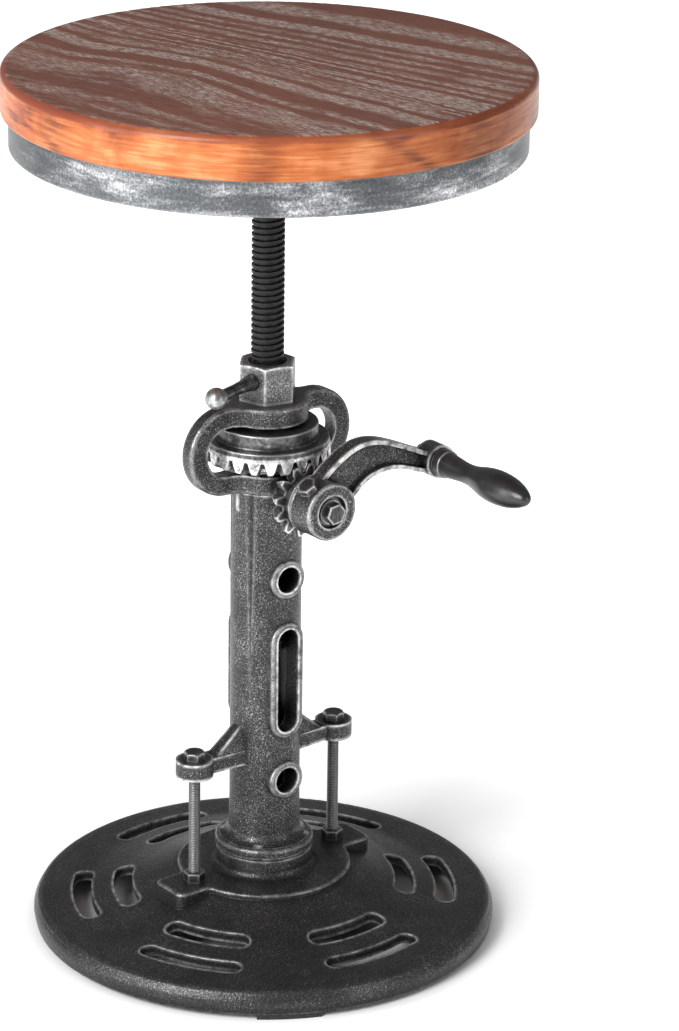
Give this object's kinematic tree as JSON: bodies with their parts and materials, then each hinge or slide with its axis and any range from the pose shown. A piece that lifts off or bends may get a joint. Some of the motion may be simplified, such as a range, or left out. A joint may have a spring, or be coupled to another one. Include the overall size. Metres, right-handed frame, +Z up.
{
  "type": "machinist stool",
  "caption": "Round wooden-seated cast-iron stool raised and lowered by a side crank through bevel gears and a central screw.",
  "frame": {"origin": "centre of the footprint on the floor, under the column axis", "axes": "+Z up along the column; the crank shaft points along -Y and the two column lugs lie along X"},
  "size_m": [0.35, 0.35, 0.611],
  "materials": {
    "casting": "satin",
    "gear_iron": "satin",
    "dark_steel": "satin",
    "fastener_steel": "satin",
    "black_screw": "matte",
    "hoop_steel": "satin",
    "grip_metal": "gloss",
    "bronze": "satin",
    "seat_plank": "satin",
    "pad_rubber": "matte"
  },
  "bodies": {
    "frame": {"base_plate": "casting", "foot_pads": "pad_rubber", "column": "casting", "column_screws": "fastener_steel", "column_washers": "fastener_steel", "tie_bolts": "fastener_steel", "tie_nuts": "fastener_steel", "gear_yoke": "casting", "yoke_screws": "fastener_steel", "guide_bush": "bronze", "guide_key": "dark_steel", "lower_thrust_washer": "dark_steel", "upper_thrust_washer": "dark_steel", "pinion_axle": "fastener_steel", "axle_washer": "fastener_steel", "hex_collar": "dark_steel", "lock_pad": "bronze"},
    "gear": {"bevel_gear": "gear_iron", "gear_nut": "bronze"},
    "crank": {"pinion": "gear_iron", "crank_arm": "casting", "crank_set_screw": "fastener_steel", "grip_stud": "dark_steel", "grip_nut": "fastener_steel"},
    "handle": {"grip_ferrule": "dark_steel", "grip": "grip_metal"},
    "lock": {"lock_screw": "dark_steel"},
    "lift": {"lift_screw": "black_screw", "stop_ring": "dark_steel", "stop_bolt": "fastener_steel", "stop_washer": "fastener_steel", "swivel_washer": "bronze", "journal_washer": "fastener_steel", "journal_nut": "fastener_steel"},
    "seat": {"swivel_hub": "casting", "seat_cross": "dark_steel", "seat_hoop": "hoop_steel", "seat_wood": "seat_plank", "seat_bolts": "fastener_steel", "wood_screws": "fastener_steel"}
  },
  "joints": [
    {"name": "lift_slide", "type": "slide", "parent": "frame", "child": "lift", "axis": [0, 0, 1], "range_m": [-0.085, 0.09]},
    {"name": "gear_turn", "type": "hinge", "parent": "frame", "child": "gear", "pos_m": [0, 0, 0.3525], "axis": [0, 0, -1], "range_deg": [-7229.92, 7655.15]},
    {"name": "crank_turn", "type": "hinge", "parent": "frame", "child": "crank", "pos_m": [0, -0.04, 0.323], "axis": [0, -1, 0], "range_deg": [-14459.83, 15310.29]},
    {"name": "seat_swivel", "type": "hinge", "parent": "lift", "child": "seat", "pos_m": [0, 0, 0.56], "axis": [0, 0, 1], "continuous": true},
    {"name": "grip_spin", "type": "hinge", "parent": "crank", "child": "handle", "pos_m": [0.0972, -0.11, 0.336], "axis": [0, -1, 0], "continuous": true},
    {"name": "lock_turn", "type": "hinge", "parent": "frame", "child": "lock", "pos_m": [-0.02837, -0.00977, 0.3983], "axis": [-0.9455, -0.3256, 0], "range_deg": [-90, 0]}
  ],
  "couplings": [
    {"joint": "gear_turn", "follows": "lift_slide", "rad_per_m": 1484.3},
    {"joint": "crank_turn", "follows": "lift_slide", "rad_per_m": 2968.7}
  ]
}
